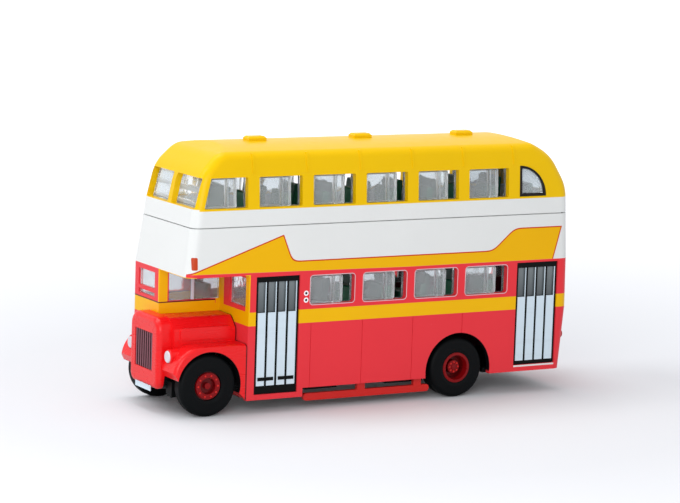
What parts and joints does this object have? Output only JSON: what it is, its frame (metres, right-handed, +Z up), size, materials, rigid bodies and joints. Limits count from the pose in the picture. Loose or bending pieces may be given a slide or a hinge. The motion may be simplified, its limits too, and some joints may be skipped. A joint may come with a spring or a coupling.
{
  "type": "toy double decker bus",
  "caption": "Small die-cast model of a half-cab double decker bus with doors on one side, benches behind clear windows on both decks, and two turning axles.",
  "frame": {"origin": "centre of the bounding box's base, on the floor under the tyres", "axes": "+X ahead, +Y to the nearside with the doors, +Z up"},
  "size_m": [0.0732, 0.02, 0.0427],
  "materials": {
    "roof_yellow": "gloss paint on a die-cast roof, white strip at its foot",
    "body_red": "gloss paint, red below white with yellow bands",
    "bonnet_red": "gloss red moulding",
    "grille_black": "dark slats",
    "lamp_clear": "pearl lamp lens",
    "chassis_black": "satin black moulding",
    "guard_red": "red rail",
    "tyre_rubber": "black rubber",
    "hub_red": "red wheel centre",
    "axle_steel": "bright pin",
    "seat_green": "dark green moulding",
    "door_black": "black door frame",
    "door_pale": "pale grey-blue printed leaf",
    "clear": "clear moulded glazing",
    "lamp_red": "red lamp",
    "quarter_rubber": "black frame",
    "cab_grey": "grey cab fittings"
  },
  "bodies": {
    "bus": {"bonnet": "bonnet_red", "cab_glazing": "clear", "chassis": "chassis_black", "front_door": "door_black", "front_door_bars": "door_black", "front_door_glass": "clear", "front_door_leaves": "door_pale", "grille": "grille_black", "headlamps": "lamp_clear", "lifeguards": "guard_red", "lower_body": "body_red", "lower_deck": "seat_green", "lower_glazing": "clear", "quarter_frames": "quarter_rubber", "quarter_glass": "clear", "rear_door": "door_black", "rear_door_glass": "clear", "rear_door_leaves": "door_pale", "rear_lamps": "lamp_red", "steering_wheel": "cab_grey", "upper_body": "roof_yellow", "upper_deck": "seat_green", "upper_glazing": "clear"},
    "front_wheels": {"front_axle": "axle_steel", "front_nearside_hub": "hub_red", "front_nearside_tyre": "tyre_rubber", "front_offside_hub": "hub_red", "front_offside_tyre": "tyre_rubber"},
    "rear_wheels": {"rear_axle": "axle_steel", "rear_nearside_hub": "hub_red", "rear_nearside_tyre": "tyre_rubber", "rear_offside_hub": "hub_red", "rear_offside_tyre": "tyre_rubber"}
  },
  "joints": [
    {"name": "front_axle_spin", "type": "hinge", "parent": "bus", "child": "front_wheels", "pos_m": [0.0299, 0, 0.0049], "axis": [0, 1, 0], "continuous": true},
    {"name": "rear_axle_spin", "type": "hinge", "parent": "bus", "child": "rear_wheels", "pos_m": [-0.0154, 0, 0.0049], "axis": [0, 1, 0], "continuous": true}
  ]
}
